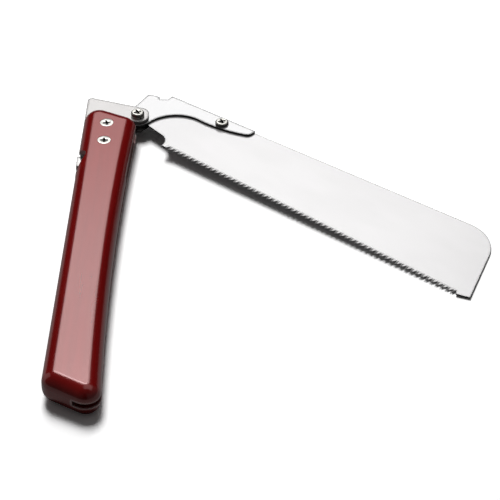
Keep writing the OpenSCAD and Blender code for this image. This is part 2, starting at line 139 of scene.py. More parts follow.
class Graph:
    """The node tree of one material or of the world."""

    # How far a normal tilts from the start to the end of a side's mask
    SIDE_FADE = 0.3
    # Likeness of the flat and the rounded normal, on a sharp edge and away from it
    EDGE_BEND = (0.72, 0.93)
    EDGE_SAMPLES = 6

    def __init__(self, tree: bpy.types.NodeTree) -> None:
        """Start from an empty tree."""
        self.tree = tree
        self.tree.nodes.clear()

    def add(
        self, kind: str, settings: Optional[dict[str, Any]] = None,
        sockets: Optional[dict[Any, Any]] = None, out: Union[int, str] = 0,
    ) -> Optional[Socket]:
        """Add a node, set it up and link its sockets.

        Args:
            kind: Blender's name of the node type.
            settings: Properties that are set first.
            sockets: Values or links of the input sockets, by name or number.
            out: The output that is wanted.

        Returns:
            That output, or None where the node has no outputs.
        """
        node = self.tree.nodes.new(kind)
        for key, value in (settings or {}).items():
            setattr(node, key, value)
        for key, value in (sockets or {}).items():
            if isinstance(value, Socket):
                self.tree.links.new(value.output, node.inputs[key])
            else:
                node.inputs[key].default_value = value
        return Socket(self, node.outputs[out]) if len(node.outputs) else None

    def surface(self, shader: str, sockets: dict[str, Any], owner: str = "Material") -> None:
        """Add a shader and lead it to the tree's output.

        Args:
            shader: Blender's name of the shader's node type.
            sockets: Values or links of its input sockets.
            owner: What has the tree, Material or World.
        """
        self.add("ShaderNodeOutput" + owner, None, {"Surface": self.add(shader, None, sockets)})

    def maths(self, operation: str, *values: Number) -> Socket:
        """One Math node on one or two values."""
        return self.add("ShaderNodeMath", {"operation": operation}, dict(enumerate(values)))

    def mix(self, factor: Number, first: Any, second: Any) -> Socket:
        """Mix two colours.

        Args:
            factor: Share of the second colour.
            first: A colour or a link to one.
            second: A colour or a link to one.

        Returns:
            The mixed colour.
        """
        wide = [c if isinstance(c, Socket) else (*c, 1.0) for c in (first, second)]
        return self.add(
            "ShaderNodeMix", {"data_type": "RGBA"}, {0: factor, 6: wide[0], 7: wide[1]}, out=2
        )

    def place(self, turn: float = 0.0, scale: Sequence[float] = (1, 1, 1)) -> Socket:
        """Object coordinates, turned about Z and scaled.

        Args:
            turn: Direction of the pattern's length from +X, in radians.
            scale: Pattern repeats per metre along, across and up.

        Returns:
            The coordinates as a vector.
        """
        here = self.add("ShaderNodeTexCoord", out="Object")
        turned = self.add(
            "ShaderNodeMapping", {"vector_type": "POINT"},
            {"Vector": here, "Rotation": (0, 0, -turn)},
        )
        return self.add(
            "ShaderNodeVectorMath", {"operation": "MULTIPLY"}, {0: turned, 1: tuple(scale)}
        )

    def split(self, vector: Socket, axes: str) -> list[Socket]:
        """The named axes of a vector, each as a value."""
        return [self.add("ShaderNodeSeparateXYZ", None, {0: vector}, out=axis) for axis in axes]

    def noise(self, where: Socket, detail: float = 3.0) -> Socket:
        """Noise of about 0 to 1 at a place.

        Args:
            where: Coordinates, with one repeat in each unit.
            detail: Octaves of finer noise.

        Returns:
            The noise value.
        """
        return self.add(
            "ShaderNodeTexNoise", None, {"Vector": where, "Scale": 1.0, "Detail": detail}
        )

    def bump(self, height: Socket, depth: float, strength: float) -> Socket:
        """Bump from a height.

        Args:
            height: Height of the surface, from 0 to 1.
            depth: What 1 stands for, in metres.
            strength: Share of the bump that is kept.

        Returns:
            The bent normal.
        """
        return self.add(
            "ShaderNodeBump", None, {"Height": height, "Distance": depth, "Strength": strength}
        )

    def side_mask(self, start: float) -> Socket:
        """Tell upright sides from faces that look up or down.

        Args:
            start: Upward share of the normal at which the mask starts to fade.

        Returns:
            1 on upright sides, 0 on faces that look up or down.
        """
        normal = self.add("ShaderNodeNewGeometry", out="Normal")
        up, = self.split(normal, "Z")
        return 1 - abs(up).band(start, start + self.SIDE_FADE)

    def sharp_edge(self, reach: float) -> Socket:
        """Find the sharp edges of a piece.

        Args:
            reach: Radius of the rounding that is looked for. The line is about a tenth as wide.

        Returns:
            1 along sharp edges, 0 elsewhere.
        """
        flat = self.add("ShaderNodeNewGeometry", out="Normal")
        rolled = self.add("ShaderNodeBevel", {"samples": self.EDGE_SAMPLES}, {"Radius": reach})
        bend = self.add(
            "ShaderNodeVectorMath", {"operation": "DOT_PRODUCT"}, {0: flat, 1: rolled}, out="Value"
        )
        return 1 - bend.band(*self.EDGE_BEND)

    def rays(self) -> list[Socket]:
        """Whether a ray is of each kind that sees the white room."""
        return [self.add("ShaderNodeLightPath", out=f"Is {kind} Ray") for kind in SEEN_BY]


def new_material(name: str) -> tuple[bpy.types.Material, Graph]:
    """Make a material that has an empty graph.

    Args:
        name: The material's name.

    Returns:
        The material and its graph.
    """
    material = bpy.data.materials.new(name)
    material.use_nodes = True
    return material, Graph(material.node_tree)


def shade(colour: Colour, share: float) -> Colour:
    """A colour with its brightness changed by a factor."""
    return tuple(c * share for c in colour)


# Finishes


class Grain(Enum):
    """Direction of the lines on a metal surface, as an angle from +X in plan."""

    BLADE = BLADE_TURN
    HANDLE = QUARTER_TURN


@dataclass(frozen=True)
class ToothLine:
    """Where the teeth are, across and along the blade from its pivot."""

    root: float = -7.6 * MM
    middle: float = 137.7 * MM
    half: float = 106.2 * MM
    fade: float = 0.1 * MM

    def mask(self, g: Graph) -> Socket:
        """Tell the teeth from the plate behind them.

        Args:
            g: The material's graph.

        Returns:
            1 on the teeth, 0 on the plate.
        """
        cos, sin = math.cos(BLADE_TURN), math.sin(BLADE_TURN)
        root = PIVOT.y * cos - PIVOT.x * sin + self.root
        middle = PIVOT.x * cos + PIVOT.y * sin + self.middle
        along, across = g.split(g.place(BLADE_TURN), "XY")
        behind = across.band(root - self.fade, root)
        beyond = abs(along - middle).band(self.half, self.half + self.fade)
        return 1 - g.maths("MAXIMUM", behind, beyond)


@dataclass(frozen=True)
class Steel:
    """Ground, rolled or plated steel with fine lines and clouding; its sides and edges can be
    painted dark as shade.

    A scale holds a pattern's repeats per metre along, across and up. A field that ends in rough
    is what its pattern adds to the roughness.
    """

    name: str
    colour: Colour
    roughness: float
    grain: Grain = Grain.HANDLE
    metal: float = 1.0
    line_scale: Triple = (52.0, 2600.0, 2600.0)
    line_depth: float = 0.002 * MM
    line_strength: float = 0.6
    line_rough: float = 0.06
    clouds: float = 0.05
    cloud_scale: Triple = (18.0, 40.0, 40.0)
    cloud_range: Pair = (0.3, 0.7)
    cloud_rough: float = 0.08
    scuff_scale: Triple = (60.0, 900.0, 900.0)
    scuff_range: Pair = (0.62, 0.78)
    scuff_share: float = 0.1
    scuff_tone: float = 0.9
    scuff_rough: float = 0.02
    # Dark paint on upright sides, standing in for their shade and dark reflections; edge_from is
    # where it starts to fade
    edge: Optional[Colour] = None
    edge_from: float = 0.5
    edge_rough: float = 0.15
    # Painted dark line along sharp edges within rim_r, standing in for shade and dark reflections
    # on rolled edges
    rim: Colour = (0.02, 0.02, 0.02)
    rim_r: float = 0.0
    teeth: Optional[ToothLine] = None
    # Teeth get a matte, less metallic finish, and a paler tone that is a painted glint
    tooth: Colour = (0.8, 0.79, 0.79)
    tooth_rough: float = 0.2
    tooth_dulling: float = 0.75

    def make(self) -> bpy.types.Material:
        """Build the material.

        Returns:
            The material.
        """
        material, g = new_material(self.name)
        turn = self.grain.value
        fine = g.noise(g.place(turn, self.line_scale))
        cloud = g.noise(g.place(turn, self.cloud_scale), detail=2)
        scuff = g.noise(g.place(turn, self.scuff_scale), detail=4).band(*self.scuff_range)
        deep, pale = shade(self.colour, 1 - self.clouds), shade(self.colour, 1 + self.clouds)
        colour = g.mix(cloud.band(*self.cloud_range), deep, pale)
        colour = g.mix(scuff * self.scuff_share, colour, shade(self.colour, self.scuff_tone))
        rough = self.roughness + (cloud - MEAN_NOISE) * self.cloud_rough
        rough = rough + scuff * self.scuff_rough + (fine - MEAN_NOISE) * self.line_rough
        teeth_ground_and_glint = self.teeth.mask(g) if self.teeth else 0.0
        # Painted shade: upright sides darkened and sharp edges lined dark, but not on the teeth
        if self.edge:
            side = g.side_mask(self.edge_from) * (1 - teeth_ground_and_glint)
            colour = g.mix(side, colour, self.edge)
            rough = rough + side * self.edge_rough
        if self.rim_r:
            colour = g.mix(g.sharp_edge(self.rim_r) * (1 - teeth_ground_and_glint), colour, self.rim)
        # Teeth: matte finish, with a paler tone painted as their glint
        if self.teeth:
            colour = g.mix(teeth_ground_and_glint, colour, self.tooth)
            rough = rough + teeth_ground_and_glint * self.tooth_rough
        g.surface("ShaderNodeBsdfPrincipled", {
            "Base Color": colour,
            "Metallic": self.metal - teeth_ground_and_glint * (self.metal * self.tooth_dulling),
            "Roughness": rough,
            "Normal": g.bump(fine, self.line_depth, self.line_strength),
        })
        return material


@dataclass(frozen=True)
class Plating:
    """Bright plating on turned and pressed fasteners, with clouds and fine pits; upright sides can
    be painted dark as shade.
    """

    name: str
    colour: Colour = (0.66, 0.65, 0.61)
    roughness: float = 0.32
    # Dark paint on upright sides, standing in for their shade and dark reflections
    side: Optional[Colour] = None
    side_from: float = 0.3
    cloud_scale: Triple = (350.0, 350.0, 350.0)
    cloud_range: Pair = (0.35, 0.7)
    cloud_tone: float = 0.92
    cloud_rough: float = 0.12
    pit_scale: Triple = (2200.0, 2200.0, 2200.0)
    pit_range: Pair = (0.66, 0.78)
    pit_share: float = 0.3
    pit_tone: float = 0.6
    pit_rough: float = 0.08
    pit_depth: float = 0.006 * MM
    pit_strength: float = 0.5

    def make(self) -> bpy.types.Material:
        """Build the material.

        Returns:
            The material.
        """
        material, g = new_material(self.name)
        fine = g.noise(g.place(0, self.pit_scale), detail=4)
        cloud = g.noise(g.place(0, self.cloud_scale))
        dull = shade(self.colour, self.cloud_tone)
        colour = g.mix(cloud.band(*self.cloud_range), dull, self.colour)
        pits = fine.band(*self.pit_range) * self.pit_share
        colour = g.mix(pits, colour, shade(self.colour, self.pit_tone))
        rough = self.roughness + (cloud - MEAN_NOISE) * self.cloud_rough
        rough = rough + (fine - MEAN_NOISE) * self.pit_rough
        # Painted shade on upright sides
        if self.side:
            colour = g.mix(g.side_mask(self.side_from), colour, self.side)
        g.surface("ShaderNodeBsdfPrincipled", {
            "Base Color": colour, "Metallic": 1.0, "Roughness": rough,
            "Normal": g.bump(fine, self.pit_depth, self.pit_strength),
        })
        return material


@dataclass(frozen=True)
class MouldedHandle:
    """Dark mahogany red handle with a satin lacquer sheen, worn towards its pivot end; a pale
    highlight is painted along its slot's lips.
    """

    name: str = "mahogany_red_handle"
    colour: Colour = (0.2, 0.004, 0.004)
    deep: Colour = (0.17, 0.003, 0.003)
    warm: Colour = (0.215, 0.006, 0.005)
    roughness: float = 0.22
    index: float = 1.95
    sheen: Colour = (1.0, 0.42, 0.4)
    coat_index: float = 1.56
    coat_roughness: float = 0.16
    wear: float = 0.75
    worn_y: Pair = (-60 * MM, 130 * MM)
    # Pale line painted along sharp edges near the slot's lips, as their highlight
    lip_highlight: Colour = (0.85, 0.72, 0.7)
    lip_highlight_r: float = 3.2 * MM
    lip_highlight_reach: Pair = (4.5 * MM, 5.5 * MM)
    lip_highlight_x: Pair = (-6 * MM, -4 * MM)
    streak_scale: Triple = (12.0, 160.0, 160.0)
    streak_range: Pair = (0.32, 0.68)
    mottle_scale: Triple = (45.0, 70.0, 70.0)
    mottle_range: Pair = (0.5, 0.75)
    mottle_share: float = 0.6
    mottle_rough: float = 0.08
    peel_scale: Triple = (900.0, 900.0, 900.0)
    peel_rough: float = 0.04
    peel_depth: float = 0.008 * MM
    peel_strength: float = 0.5
    pore_scale: Triple = (500.0, 3600.0, 3600.0)
    pore_range: Pair = (0.68, 0.8)
    pore_share: float = 0.2
    pore_rough: float = 0.04
    pore_coat: float = 0.12

    def make(self) -> bpy.types.Material:
        """Build the material.

        Returns:
            The material.
        """
        material, g = new_material(self.name)
        turn = Grain.HANDLE.value
        streak = g.noise(g.place(turn, self.streak_scale), detail=5)
        mottle = g.noise(g.place(turn, self.mottle_scale))
        peel = g.noise(g.place(0, self.peel_scale), detail=2)
        pores = g.noise(g.place(turn, self.pore_scale)).band(*self.pore_range)
        colour = g.mix(streak.band(*self.streak_range), self.deep, self.colour)
        colour = g.mix(mottle.band(*self.mottle_range) * self.mottle_share, colour, self.warm)
        colour = g.mix(pores * self.pore_share, colour, self.deep)
        rough = self.roughness + (mottle - MEAN_NOISE) * self.mottle_rough
        rough = rough + (peel - MEAN_NOISE) * self.peel_rough + pores * self.pore_rough
        across, along, height = g.split(g.place(), "XYZ")
        worn = along.band(*self.worn_y) * self.wear
        # Painted highlight: a pale line on sharp edges close to the slot's lips
        slot_lip_highlight = 1 - abs(height - MID_Z).band(*self.lip_highlight_reach)
        slot_lip_highlight = slot_lip_highlight * across.band(*self.lip_highlight_x)
        colour = g.mix(g.sharp_edge(self.lip_highlight_r) * slot_lip_highlight, colour, self.lip_highlight)
        g.surface("ShaderNodeBsdfPrincipled", {
            "Base Color": colour, "Roughness": rough, "IOR": self.index,
            "Specular Tint": (*self.sheen, 1.0),
            "Coat Weight": 1 - worn - pores * self.pore_coat,
            "Coat Roughness": self.coat_roughness, "Coat IOR": self.coat_index,
            "Normal": g.bump(peel, self.peel_depth, self.peel_strength),
        })
        return material


@dataclass(frozen=True)
class PaperFloor:
    """Plain pale sweep under the saw; it keeps the shadow."""

    name: str = "pale_floor"
    bounce: float = 0.2
    seen_white: float = 1.5
    in_gloss: float = 0.02
    fibre_scale: Triple = (700.0, 700.0, 700.0)
    fibre_tone: float = 0.02

    def make(self) -> bpy.types.Material:
        """Build the material.

        Returns:
            The material.
        """
        material, g = new_material(self.name)
        camera, gloss, clear = g.rays()
        seen = camera + (gloss + clear) * self.in_gloss
        fibre = g.noise(g.place(0, self.fibre_scale), detail=4)
        tone = self.bounce + seen * (self.seen_white - self.bounce)
        tone = tone + (fibre - MEAN_NOISE) * self.fibre_tone
        g.surface("ShaderNodeBsdfDiffuse", {"Color": tone})
        return material


# Modelling


class Pick(Enum):
    """What is selected in edit mode."""

    VERTS = "VERT"
    EDGES = "EDGE"
    FACES = "FACE"


class Bench:
    """Modelling steps that all pieces share."""

    ROUND_SIDES = 64
    # Distance within which a point counts as being at a named place
    AT_PLACE = 0.01 * MM
    # Share of a face's normal along a direction from which the face looks that way
    FACING = 0.99

    @staticmethod
    def clear() -> None:
        """Leave edit mode and deselect everything."""
        if bpy.context.object and bpy.context.object.mode != "OBJECT":
            bpy.ops.object.mode_set(mode="OBJECT")
        bpy.ops.object.select_all(action="DESELECT")

    @classmethod
    def only(cls, obj: bpy.types.Object) -> None:
        """Select one piece alone and make it the active one.

        Args:
            obj: The piece.
        """
        cls.clear()
        obj.select_set(True)
        bpy.context.view_layer.objects.active = obj

    @staticmethod
    def keep(name: str) -> bpy.types.Object:
        """Name the new primitive and put its place into its mesh.

        Args:
            name: The object's name.

        Returns:
            The object, at the origin.
        """
        obj = bpy.context.active_object
        obj.name = name
        obj.data.name = name
        bpy.ops.object.transform_apply(location=True, rotation=True, scale=True)
        return obj

    @classmethod
    def block(cls, name: str, low: Sequence[float], high: Sequence[float]) -> bpy.types.Object:
        """A box between two corners.

        Args:
            name: The object's name.
            low: Its lowest corner in metres.
            high: Its highest corner in metres.

        Returns:
            The box.
        """
        cls.clear()
        low, high = Vector(low), Vector(high)
        bpy.ops.mesh.primitive_cube_add(size=1, location=(low + high) / 2, scale=high - low)
        return cls.keep(name)

    @classmethod
    def rod(
        cls, name: str, foot: Sequence[float], height: float, low_r: float, top_r: float
    ) -> bpy.types.Object:
        """An upright round bar or cone.

        Args:
            name: The object's name.
            foot: Middle of its lower face.
            height: Its height.
            low_r: Radius of the lower face.
            top_r: Radius of the upper face.

        Returns:
            The bar.
        """
        cls.clear()
        bpy.ops.mesh.primitive_cone_add(
            vertices=cls.ROUND_SIDES, radius1=low_r, radius2=top_r, depth=height,
            location=Vector(foot) + Vector((0, 0, height / 2)),
        )
        return cls.keep(name)

    @classmethod
    def pick(cls, obj: bpy.types.Object, kind: Pick, test: Test) -> None:
        """Open the mesh in edit mode with only some of it selected.

        Args:
            obj: The piece.
            kind: Vertices, edges or faces.
            test: Says whether an element is selected.
        """
        cls.only(obj)
        bpy.ops.object.mode_set(mode="EDIT")
        bpy.ops.mesh.select_mode(type=kind.value)
        bpy.ops.mesh.select_all(action="DESELECT")
        mesh = bmesh.from_edit_mesh(obj.data)
        mesh.normal_update()
        items = {Pick.VERTS: mesh.verts, Pick.EDGES: mesh.edges, Pick.FACES: mesh.faces}[kind]
        for item in [item for item in items if test(item)]:
            item.select_set(True)
        bmesh.update_edit_mesh(obj.data)

    @classmethod
    def facing(cls, way: Sequence[float]) -> Test:
        """Make a test for the faces that look one way.

        Args:
            way: The direction, of length 1.

        Returns:
            The test of a face.
        """
        return lambda face: face.normal.dot(Vector(way)) > cls.FACING

    @classmethod
    def shift(cls, obj: bpy.types.Object, test: Test, way: Sequence[float]) -> None:
        """Move the vertices that pass a test.

        Args:
            obj: The piece.
            test: Says whether a vertex is moved.
            way: How far they move.
        """
        cls.pick(obj, Pick.VERTS, test)
        bpy.ops.transform.translate(value=way)
        cls.clear()

    @classmethod
    def slice(
        cls, obj: bpy.types.Object, point: Sequence[float], normal: Sequence[float],
        trim: bool = False,
    ) -> None:
        """Cut the mesh by a plane.

        Args:
            obj: The piece.
            point: A point of the plane.
            normal: Its normal.
            trim: Whether the side that the normal points to is removed and closed.
        """
        cls.pick(obj, Pick.FACES, lambda f: True)
        bpy.ops.mesh.bisect(plane_co=point, plane_no=normal, use_fill=trim, clear_outer=trim)
        cls.clear()

    @classmethod
    def round_edges(
        cls, obj: bpy.types.Object, test: Test, reach: float, segments: int,
        half_angle: float = math.pi / 4,
    ) -> None:
        """Bevel the edges that pass a test.

        Args:
            obj: The piece.
            test: Says whether an edge is rounded.
            reach: Distance from the edge to where the rounding starts.
            segments: Faces across the rounding.
            half_angle: Half of the angle between the two sides, for a true arc.
        """
        cls.pick(obj, Pick.EDGES, test)
        bpy.ops.mesh.bevel(
            offset=reach, offset_type="OFFSET", segments=segments,
            profile=(1 - 0.5 / (1 + math.sin(half_angle))) ** 2,
            affect="EDGES", clamp_overlap=False,
        )
        cls.clear()

    @classmethod
    def apply(cls, obj: bpy.types.Object, kind: str, **settings: Any) -> None:
        """Add a modifier and apply it.

        Args:
            obj: The piece.
            kind: Blender's name of the modifier type.
            **settings: The modifier's properties.
        """
        cls.only(obj)
        modifier = obj.modifiers.new(kind.lower(), kind)
        for key, value in settings.items():
            setattr(modifier, key, value)
        bpy.ops.object.modifier_apply(modifier=modifier.name)

    @classmethod
    def soften(cls, obj: bpy.types.Object, width: float, segments: int, from_deg: float) -> None:
        """Bevel every edge that is sharper than an angle.

        Args:
            obj: The piece.
            width: Width of the bevel.
            segments: Faces across it.
            from_deg: The angle in degrees.
        """
        cls.apply(
            obj, "BEVEL", width=width, segments=segments, limit_method="ANGLE",
            angle_limit=math.radians(from_deg), use_clamp_overlap=True,
        )

    @classmethod
    def cut(cls, obj: bpy.types.Object, *cutters: bpy.types.Object) -> None:
        """Take the cutters' volume away from a piece and remove the cutters.

        Args:
            obj: The piece.
            *cutters: What is cut away.
        """
        for cutter in cutters:
            cls.apply(
                obj, "BOOLEAN", operation="DIFFERENCE", object=cutter, solver="EXACT",
                material_mode="TRANSFER",
            )
            bpy.data.objects.remove(cutter, do_unlink=True)

    @classmethod
    def extrude(cls, obj: bpy.types.Object, test: Test, way: Sequence[float]) -> None:
        """Extrude the faces that pass a test.

        Args:
            obj: The piece.
            test: Says whether a face is extruded.
            way: How far they move.
        """
        cls.pick(obj, Pick.FACES, test)
        bpy.ops.mesh.extrude_region_move(TRANSFORM_OT_translate={"value": way})
        cls.clear()

    @classmethod
    def smooth(cls, obj: bpy.types.Object, below_deg: float = 35.0) -> None:
        """Shade a piece smooth where its faces meet at a small angle.

        Args:
            obj: The piece.
            below_deg: The largest such angle in degrees.
        """
        cls.only(obj)
        bpy.ops.object.shade_smooth_by_angle(angle=math.radians(below_deg))

    @classmethod
    def join(cls, first: bpy.types.Object, others: Iterable[bpy.types.Object]) -> None:
        """Make several objects one piece of separate solids.

        Args:
            first: The object that stays.
            others: The objects that go into it.
        """
        cls.only(first)
        for obj in others:
            obj.select_set(True)
        bpy.ops.object.join()


def dress(obj: bpy.types.Object, material: bpy.types.Material) -> None:
    """Give a piece one material.

    Args:
        obj: The piece.
        material: Its finish.
    """
    obj.data.materials.clear()
    obj.data.materials.append(material)


# Pieces of the saw


@dataclass
class Handle:
    """The red handle: a slim slotted slab with long rounded edges and a drawn-in tooth side."""

    finish: MouldedHandle = field(default_factory=MouldedHandle)
    spine_x: float = -15.75 * MM
    butt_x: float = 17.75 * MM
    front_x: float = 16.25 * MM
    butt_spine_y: float = -114.928 * MM
    butt_tooth_y: float = -133.76 * MM
    front_tooth_y: float = 125.027 * MM
    front_spine_y: float = 139.275 * MM
    thickness: float = 19.0 * MM
    corner_r: float = 9.0 * MM
    edge_r: float = 7.9 * MM
    round_steps: int = 12
    waist: float = 3.5 * MM
    waist_from: float = -132.75 * MM
    waist_l: float = 258.0 * MM
    # The waist is measured on the pivot line, and the tooth side, a little outside it, moves more
    waist_gain: float = 1.04
    drawn_from: float = -107.0 * MM
    drawn_to: float = 116.0 * MM
    slices: int = 41
    pocket_y: float = 69.2 * MM
    pocket_half: float = 3.55 * MM
    slot_x: float = 1.75 * MM
    slot_half: float = 1.6 * MM
    slot_overlap: float = 0.1 * MM
    notch_front_y: float = 93.25 * MM
    notch_l: float = 19.0 * MM
    notch_d: float = 4.8 * MM
    # Length of the notch's front flank as a share of the notch, and the place where the rear
    # flank starts, counted from the notch's front in lengths of the front flank
    notch_flank: float = 0.3
    notch_rear: float = 1.6
    notch_front_r: float = 0.9 * MM
    notch_front_steps: int = 5
    notch_rear_r: float = 1.3 * MM
    notch_rear_steps: int = 6
    screw_x: float = -1.25 * MM
    screw_ys: Pair = (116.35 * MM, 98.55 * MM)
    hole_r: float = 2.07 * MM
    hole_l: float = 8.0 * MM
    seat_r: float = 4.05 * MM
    lip_w: float = 0.5 * MM
    lip_steps: int = 3
    lip_from_deg: float = 48.0
    smooth_below_deg: float = 40.0
    normal_weight: int = 80
    # How far cutters and the rough slab reach past what they cut
    past: float = 20.0 * MM
    seat_past: float = 1.0 * MM
    at_corner: float = 0.05 * MM
    # Upward share of the normal of an upright face and of a level one
    side_below: float = 0.1
    level_above: float = 0.9

    def build(self) -> bpy.types.Object:
        """Model the handle and let it stand for the CAD handle.

        Returns:
            The piece.
        """
        slab = self.slab()
        Bench.cut(slab, self.pocket(), self.slot(), self.notch())
        for y in self.screw_ys:
            Bench.cut(slab, self.seat(y, self.thickness, 1), self.seat(y, 0.0, -1))
        Bench.soften(slab, self.lip_w, self.lip_steps, self.lip_from_deg)
        Bench.smooth(slab, self.smooth_below_deg)
        Bench.apply(slab, "WEIGHTED_NORMAL", keep_sharp=True, weight=self.normal_weight)
        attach(slab, "handle")
        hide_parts("handle")
        dress(slab, self.finish.make())
        return slab

    def corners(self) -> list[Vector]:
        """Find the corners in plan.

        Returns:
            Butt at the spine, butt, front, front at the spine.
        """
        return [
            Vector((self.spine_x, self.butt_spine_y)), Vector((self.butt_x, self.butt_tooth_y)),
            Vector((self.front_x, self.front_tooth_y)), Vector((self.spine_x, self.front_spine_y)),
        ]

    def slab(self) -> bpy.types.Object:
        """Model the slab before anything is cut into it.

        Returns:
            The slab with its slanted ends, drawn-in side and rounded edges.
        """
        pts = self.corners()
        slab = Bench.block(
            "handle_grip", (self.spine_x, self.butt_tooth_y - self.past, 0),
            (self.butt_x + self.past, self.front_spine_y + self.past, self.thickness),
        )
        for a, b in zip(pts, pts[1:]):
            line = b - a
            Bench.slice(slab, (a.x, a.y, 0), (line.y, -line.x, 0), trim=True)
        self.draw_in(slab)
        for i, p in enumerate(pts):
            legs = [(q - p).normalized() for q in (pts[i - 1], pts[(i + 1) % len(pts)])]
            half = legs[0].angle(legs[1]) / 2
            reach = self.corner_r / math.tan(half)
            Bench.round_edges(slab, self.upright_at(p), reach, self.round_steps, half)
        Bench.round_edges(slab, self.on_outline, self.edge_r, self.round_steps)
        return slab

    def draw_in(self, slab: bpy.types.Object) -> None:
        """Slice the slab along its length and move its tooth side in by the waist's curve.

        Args:
            slab: The slab with its slanted ends.
        """
        drawn = self.drawn_to - self.drawn_from
        levels = [self.drawn_from + drawn * i / (self.slices - 1) for i in range(self.slices)]
        for y in levels:
            Bench.slice(slab, (0, y, 0), (0, 1, 0))
        for y in levels:
            t = 2 * (y - self.waist_from) / self.waist_l - 1
            inward = self.waist_gain * self.waist * max(0.0, 1 - t * t)
            Bench.shift(
                slab, lambda v: v.co.x > 0 and abs(v.co.y - y) < Bench.AT_PLACE, (-inward, 0, 0)
            )

    def upright_at(self, p: Vector) -> Test:
        """Make a test for the upright edge at a corner of the plan.

        Args:
            p: The corner.

        Returns:
            The test of an edge.
        """
        return lambda edge: all((v.co.xy - p).length < self.at_corner for v in edge.verts)

    def on_outline(self, edge: Any) -> bool:
        """Tell whether an edge parts the top or the underside from the sides.

        Args:
            edge: The edge.

        Returns:
            Whether one of its faces is upright and the other is level.
        """
        lift = sorted(abs(f.normal.z) for f in edge.link_faces)
        return len(lift) == 2 and lift[0] < self.side_below and lift[1] > self.level_above

    def pocket(self) -> bpy.types.Object:
        """Make the cutter for the room of the steel frame.

        Returns:
            The cutter.
        """
        return Bench.block(
            "pocket", (self.spine_x - self.past, self.pocket_y, MID_Z - self.pocket_half),
            (self.butt_x + self.past, self.front_spine_y + self.past, MID_Z + self.pocket_half),
        )

    def slot(self) -> bpy.types.Object:
        """Make the cutter for the blade's slot, through the butt.

        Returns:
            The cutter.
        """
        return Bench.block(
            "slot", (self.slot_x, self.butt_tooth_y - self.past, MID_Z - self.slot_half),
            (self.butt_x + self.past, self.pocket_y + self.slot_overlap, MID_Z + self.slot_half),
        )

    def notch(self) -> bpy.types.Object:
        """Make the cutter for the thumb notch, with a short front flank and a long rear flank.

        Returns:
            The cutter.
        """
        rear_y = self.notch_front_y - self.notch_l
        flank = self.notch_flank * self.notch_l
        floor_x = self.spine_x + self.notch_d
        cutter = Bench.block(
            "notch", (self.spine_x, rear_y, -self.past),
            (floor_x, self.notch_front_y, self.thickness + self.past),
        )
        floor_front = Vector((floor_x, self.notch_front_y - flank))
        floor_rear = Vector((floor_x, self.notch_front_y - self.notch_rear * flank))
        for old_y, end in ((self.notch_front_y, floor_front), (rear_y, floor_rear)):
            old = Vector((floor_x, old_y))
            Bench.shift(
                cutter, lambda v: (v.co.xy - old).length < Bench.AT_PLACE, (0, end.y - old.y, 0)
            )
        front_test, rear_test = self.upright_at(floor_front), self.upright_at(floor_rear)
        Bench.round_edges(cutter, front_test, self.notch_front_r, self.notch_front_steps)
        Bench.round_edges(cutter, rear_test, self.notch_rear_r, self.notch_rear_steps)
        Bench.extrude(cutter, Bench.facing((-1, 0, 0)), (-self.past, 0, 0))
        return cutter

    def seat(self, y: float, face_z: float, up: int) -> bpy.types.Object:
        """Make the cutter for one end of a screw hole, with its countersink.

        Args:
            y: Place of the screw along the handle.
            face_z: Height of the face that the countersink is in.
            up: 1 for the top, -1 for the underside.

        Returns:
            The cutter.
        """
        depth = self.seat_r - self.hole_r
        rims = (self.hole_r, self.seat_r + self.seat_past)
        foot = face_z - depth if up > 0 else face_z - self.seat_past
        low_r, top_r = rims if up > 0 else rims[::-1]
        cutter = Bench.rod("seat", (self.screw_x, y, foot), depth + self.seat_past, low_r, top_r)
        Bench.extrude(cutter, Bench.facing((0, 0, -up)), (0, 0, -up * self.hole_l))
        return cutter


class Head(Enum):
    """Shape of a screw's head."""

    PAN = "pan"
    COUNTERSUNK = "countersunk"


